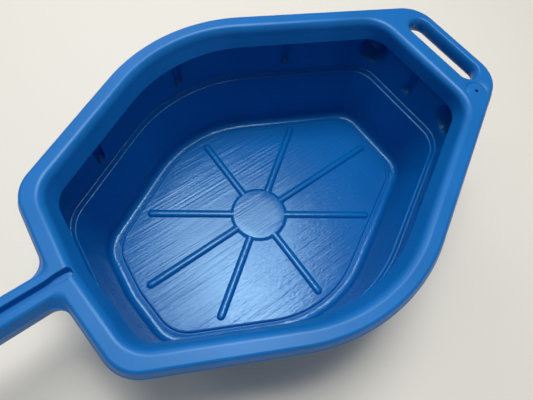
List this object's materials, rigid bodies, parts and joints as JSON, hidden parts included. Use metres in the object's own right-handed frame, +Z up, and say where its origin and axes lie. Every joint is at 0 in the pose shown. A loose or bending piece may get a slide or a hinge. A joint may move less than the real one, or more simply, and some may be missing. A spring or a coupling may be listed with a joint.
{
  "type": "oil drain pan",
  "caption": "Deep hexagonal blow-moulded drain pan with a hollow splash rim, a slotted hand grip and a long grooved stick handle.",
  "frame": {"origin": "middle of the bounding box, on the surface the pan stands on", "axes": "+X towards the slotted hand grip, -X towards the stick handle, +Z up out of the basin"},
  "size_m": [0.646, 0.3706, 0.167],
  "materials": {
    "basin_inside": "semi-gloss blue polyethylene with fine flow ripple",
    "rim_outside": "fine sandblasted matte blue polyethylene"
  },
  "bodies": {
    "root": {"floor_pad": "basin_inside", "foot_channel": "basin_inside", "lower_wall": "basin_inside", "wall_ledge": "basin_inside", "upper_wall": "basin_inside", "rim_underside": "rim_outside", "rim_top": "rim_outside", "splash_lip": "rim_outside", "handle_top": "rim_outside", "handle_underside": "rim_outside"}
  },
  "joints": []
}
